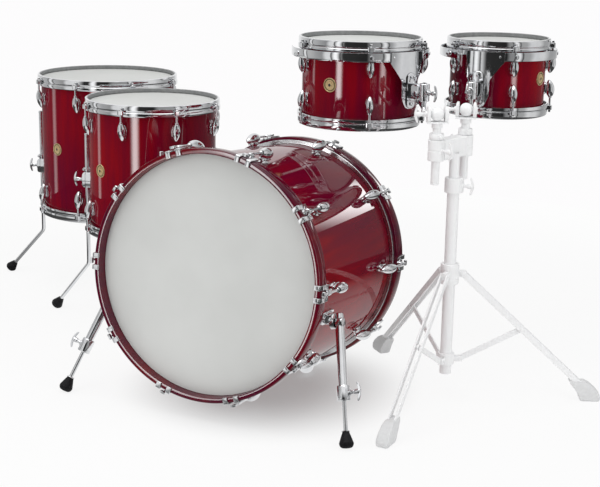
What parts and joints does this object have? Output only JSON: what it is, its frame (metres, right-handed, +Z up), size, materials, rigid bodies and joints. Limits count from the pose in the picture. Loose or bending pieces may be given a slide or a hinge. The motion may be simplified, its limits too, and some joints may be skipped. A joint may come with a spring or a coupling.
{
  "type": "drum kit",
  "caption": "Drum kit in gloss cherry lacquer with chrome hardware: tilted bass drum on folding spurs, two legged floor toms and two rack toms hung from a double tom stand",
  "frame": {"origin": "middle of the kit's footprint, on the floor", "axes": "+X runs along the kit's width, to the right for someone facing the front bass drum head; -Y is the side that faces the audience; +Z is up"},
  "size_m": [2.0158, 1.2512, 0.849],
  "materials": {
    "cherry_lacquer": "maple under clear high-gloss cherry red lacquer",
    "chrome": "polished chrome plate",
    "coated_head": "sprayed matte white coating on film",
    "pale_stand_metal": "pale satin plate"
  },
  "bodies": {
    "kit": {"bass_front_head": "coated_head", "bass_front_hoop": "cherry_lacquer", "bass_rear_head": "coated_head", "bass_rear_hoop": "cherry_lacquer", "bass_shell": "cherry_lacquer", "floor_14_bottom_head": "coated_head", "floor_14_bottom_hoop": "chrome", "floor_14_leg_bracket_a": "chrome", "floor_14_leg_bracket_b": "chrome", "floor_14_leg_bracket_c": "chrome", "floor_14_shell": "cherry_lacquer", "floor_14_top_head": "coated_head", "floor_14_top_hoop": "chrome", "floor_16_bottom_head": "coated_head", "floor_16_bottom_hoop": "chrome", "floor_16_leg_bracket_a": "chrome", "floor_16_leg_bracket_b": "chrome", "floor_16_leg_bracket_c": "chrome", "floor_16_shell": "cherry_lacquer", "floor_16_top_head": "coated_head", "floor_16_top_hoop": "chrome", "left_spur_bracket": "chrome", "right_spur_bracket": "chrome", "stand_base_tube": "pale_stand_metal"},
    "left_spur": {"left_spur_tube": "chrome"},
    "left_spur_foot": {"left_spur_rod": "chrome"},
    "right_spur": {"right_spur_tube": "chrome"},
    "right_spur_foot": {"right_spur_rod": "chrome"},
    "floor_16_leg_a": {"floor_16_leg_a": "chrome"},
    "floor_16_leg_b": {"floor_16_leg_b": "chrome"},
    "floor_16_leg_c": {"floor_16_leg_c": "chrome"},
    "floor_14_leg_a": {"floor_14_leg_a": "chrome"},
    "floor_14_leg_b": {"floor_14_leg_b": "chrome"},
    "floor_14_leg_c": {"floor_14_leg_c": "chrome"},
    "hub": {"stand_hub": "pale_stand_metal"},
    "leg_a": {"stand_leg_a": "pale_stand_metal"},
    "brace_a": {"stand_brace_a": "pale_stand_metal"},
    "leg_b": {"stand_leg_b": "pale_stand_metal"},
    "brace_b": {"stand_brace_b": "pale_stand_metal"},
    "leg_c": {"stand_leg_c": "pale_stand_metal"},
    "brace_c": {"stand_brace_c": "pale_stand_metal"},
    "height_tube": {"stand_height_tube": "pale_stand_metal"},
    "tom_12_post": {"tom_12_post": "pale_stand_metal"},
    "tom_12_clamp": {"tom_12_ball_clamp": "pale_stand_metal"},
    "tom_12": {"tom_12_arm": "chrome", "tom_12_suspension": "chrome", "tom_12_shell": "cherry_lacquer", "tom_12_top_hoop": "chrome", "tom_12_bottom_hoop": "chrome", "tom_12_top_head": "coated_head", "tom_12_bottom_head": "coated_head"},
    "tom_10_post": {"tom_10_post": "pale_stand_metal"},
    "tom_10_clamp": {"tom_10_ball_clamp": "pale_stand_metal"},
    "tom_10": {"tom_10_arm": "chrome", "tom_10_suspension": "chrome", "tom_10_shell": "cherry_lacquer", "tom_10_top_hoop": "chrome", "tom_10_bottom_hoop": "chrome", "tom_10_top_head": "coated_head", "tom_10_bottom_head": "coated_head"}
  },
  "joints": [
    {"name": "left_spur_fold", "type": "hinge", "parent": "kit", "child": "left_spur", "pos_m": [-0.11399, -0.49664, 0.25069], "axis": [-0.9586, 0.0253, 0.2838], "range_deg": [-109.7, 0]},
    {"name": "left_spur_length", "type": "slide", "parent": "left_spur", "child": "left_spur_foot", "axis": [0.2683, 0.4153, 0.8692], "range_m": [0, 0.05]},
    {"name": "right_spur_fold", "type": "hinge", "parent": "kit", "child": "right_spur", "pos_m": [0.49327, -0.49664, 0.25069], "axis": [0.9586, 0.0253, 0.2838], "range_deg": [0, 109.7]},
    {"name": "right_spur_length", "type": "slide", "parent": "right_spur", "child": "right_spur_foot", "axis": [-0.2683, 0.4153, 0.8692], "range_m": [0, 0.05]},
    {"name": "floor_16_leg_a_height", "type": "slide", "parent": "kit", "child": "floor_16_leg_a", "axis": [0, 0, 1], "range_m": [0, 0.12]},
    {"name": "floor_16_leg_b_height", "type": "slide", "parent": "kit", "child": "floor_16_leg_b", "axis": [0, 0, 1], "range_m": [0, 0.12]},
    {"name": "floor_16_leg_c_height", "type": "slide", "parent": "kit", "child": "floor_16_leg_c", "axis": [0, 0, 1], "range_m": [0, 0.12]},
    {"name": "floor_14_leg_a_height", "type": "slide", "parent": "kit", "child": "floor_14_leg_a", "axis": [0, 0, 1], "range_m": [0, 0.12]},
    {"name": "floor_14_leg_b_height", "type": "slide", "parent": "kit", "child": "floor_14_leg_b", "axis": [0, 0, 1], "range_m": [0, 0.12]},
    {"name": "floor_14_leg_c_height", "type": "slide", "parent": "kit", "child": "floor_14_leg_c", "axis": [0, 0, 1], "range_m": [0, 0.12]},
    {"name": "tripod_hub_slide", "type": "slide", "parent": "kit", "child": "hub", "axis": [0, 0, 1], "range_m": [0, 0.09]},
    {"name": "leg_a_hinge", "type": "hinge", "parent": "hub", "child": "leg_a", "pos_m": [0.62437, -0.17065, 0.315], "axis": [-0.6691, -0.7431, 0], "range_deg": [0, 16.76]},
    {"name": "brace_a_hinge", "type": "hinge", "parent": "kit", "child": "brace_a", "pos_m": [0.62437, -0.17065, 0.099], "axis": [0.6691, 0.7431, 0], "range_deg": [0, 23.98]},
    {"name": "leg_b_hinge", "type": "hinge", "parent": "hub", "child": "leg_b", "pos_m": [0.64845, -0.22738, 0.315], "axis": [0.9994, -0.0349, 0], "range_deg": [0, 16.76]},
    {"name": "brace_b_hinge", "type": "hinge", "parent": "kit", "child": "brace_b", "pos_m": [0.64845, -0.22738, 0.099], "axis": [-0.9994, 0.0349, 0], "range_deg": [0, 23.98]},
    {"name": "leg_c_hinge", "type": "hinge", "parent": "hub", "child": "leg_c", "pos_m": [0.68089, -0.18001, 0.315], "axis": [-0.3939, 0.9191, 0], "range_deg": [0, 16.76]},
    {"name": "brace_c_hinge", "type": "hinge", "parent": "kit", "child": "brace_c", "pos_m": [0.68089, -0.18001, 0.099], "axis": [0.3939, -0.9191, 0], "range_deg": [0, 23.98]},
    {"name": "stand_height_slide", "type": "slide", "parent": "kit", "child": "height_tube", "axis": [0, 0, 1], "range_m": [0, 0.2]},
    {"name": "tom_12_post_slide", "type": "slide", "parent": "height_tube", "child": "tom_12_post", "axis": [0, 0, 1], "range_m": [0, 0.09]},
    {"name": "tom_12_swivel", "type": "hinge", "parent": "tom_12_post", "child": "tom_12_clamp", "pos_m": [0.61902, -0.24204, 0.708], "axis": [0, 0, 1], "range_deg": [-3, 20]},
    {"name": "tom_12_tilt", "type": "hinge", "parent": "tom_12_clamp", "child": "tom_12", "pos_m": [0.61902, -0.24204, 0.708], "axis": [0.8878, 0.4602, 0], "range_deg": [0, 15]},
    {"name": "tom_10_post_slide", "type": "slide", "parent": "height_tube", "child": "tom_10_post", "axis": [0, 0, 1], "range_m": [0, 0.09]},
    {"name": "tom_10_swivel", "type": "hinge", "parent": "tom_10_post", "child": "tom_10_clamp", "pos_m": [0.65406, -0.13609, 0.708], "axis": [0, 0, 1], "range_deg": [-45, 3]},
    {"name": "tom_10_tilt", "type": "hinge", "parent": "tom_10_clamp", "child": "tom_10", "pos_m": [0.65406, -0.13609, 0.708], "axis": [0.9645, 0.2641, 0], "range_deg": [-10, 15]}
  ],
  "couplings": [
    {"joint": "leg_a_hinge", "follows": "tripod_hub_slide", "rad_per_m": 3.24},
    {"joint": "brace_a_hinge", "follows": "tripod_hub_slide", "rad_per_m": 4.64},
    {"joint": "leg_b_hinge", "follows": "tripod_hub_slide", "rad_per_m": 3.24},
    {"joint": "brace_b_hinge", "follows": "tripod_hub_slide", "rad_per_m": 4.64},
    {"joint": "leg_c_hinge", "follows": "tripod_hub_slide", "rad_per_m": 3.24},
    {"joint": "brace_c_hinge", "follows": "tripod_hub_slide", "rad_per_m": 4.64}
  ]
}
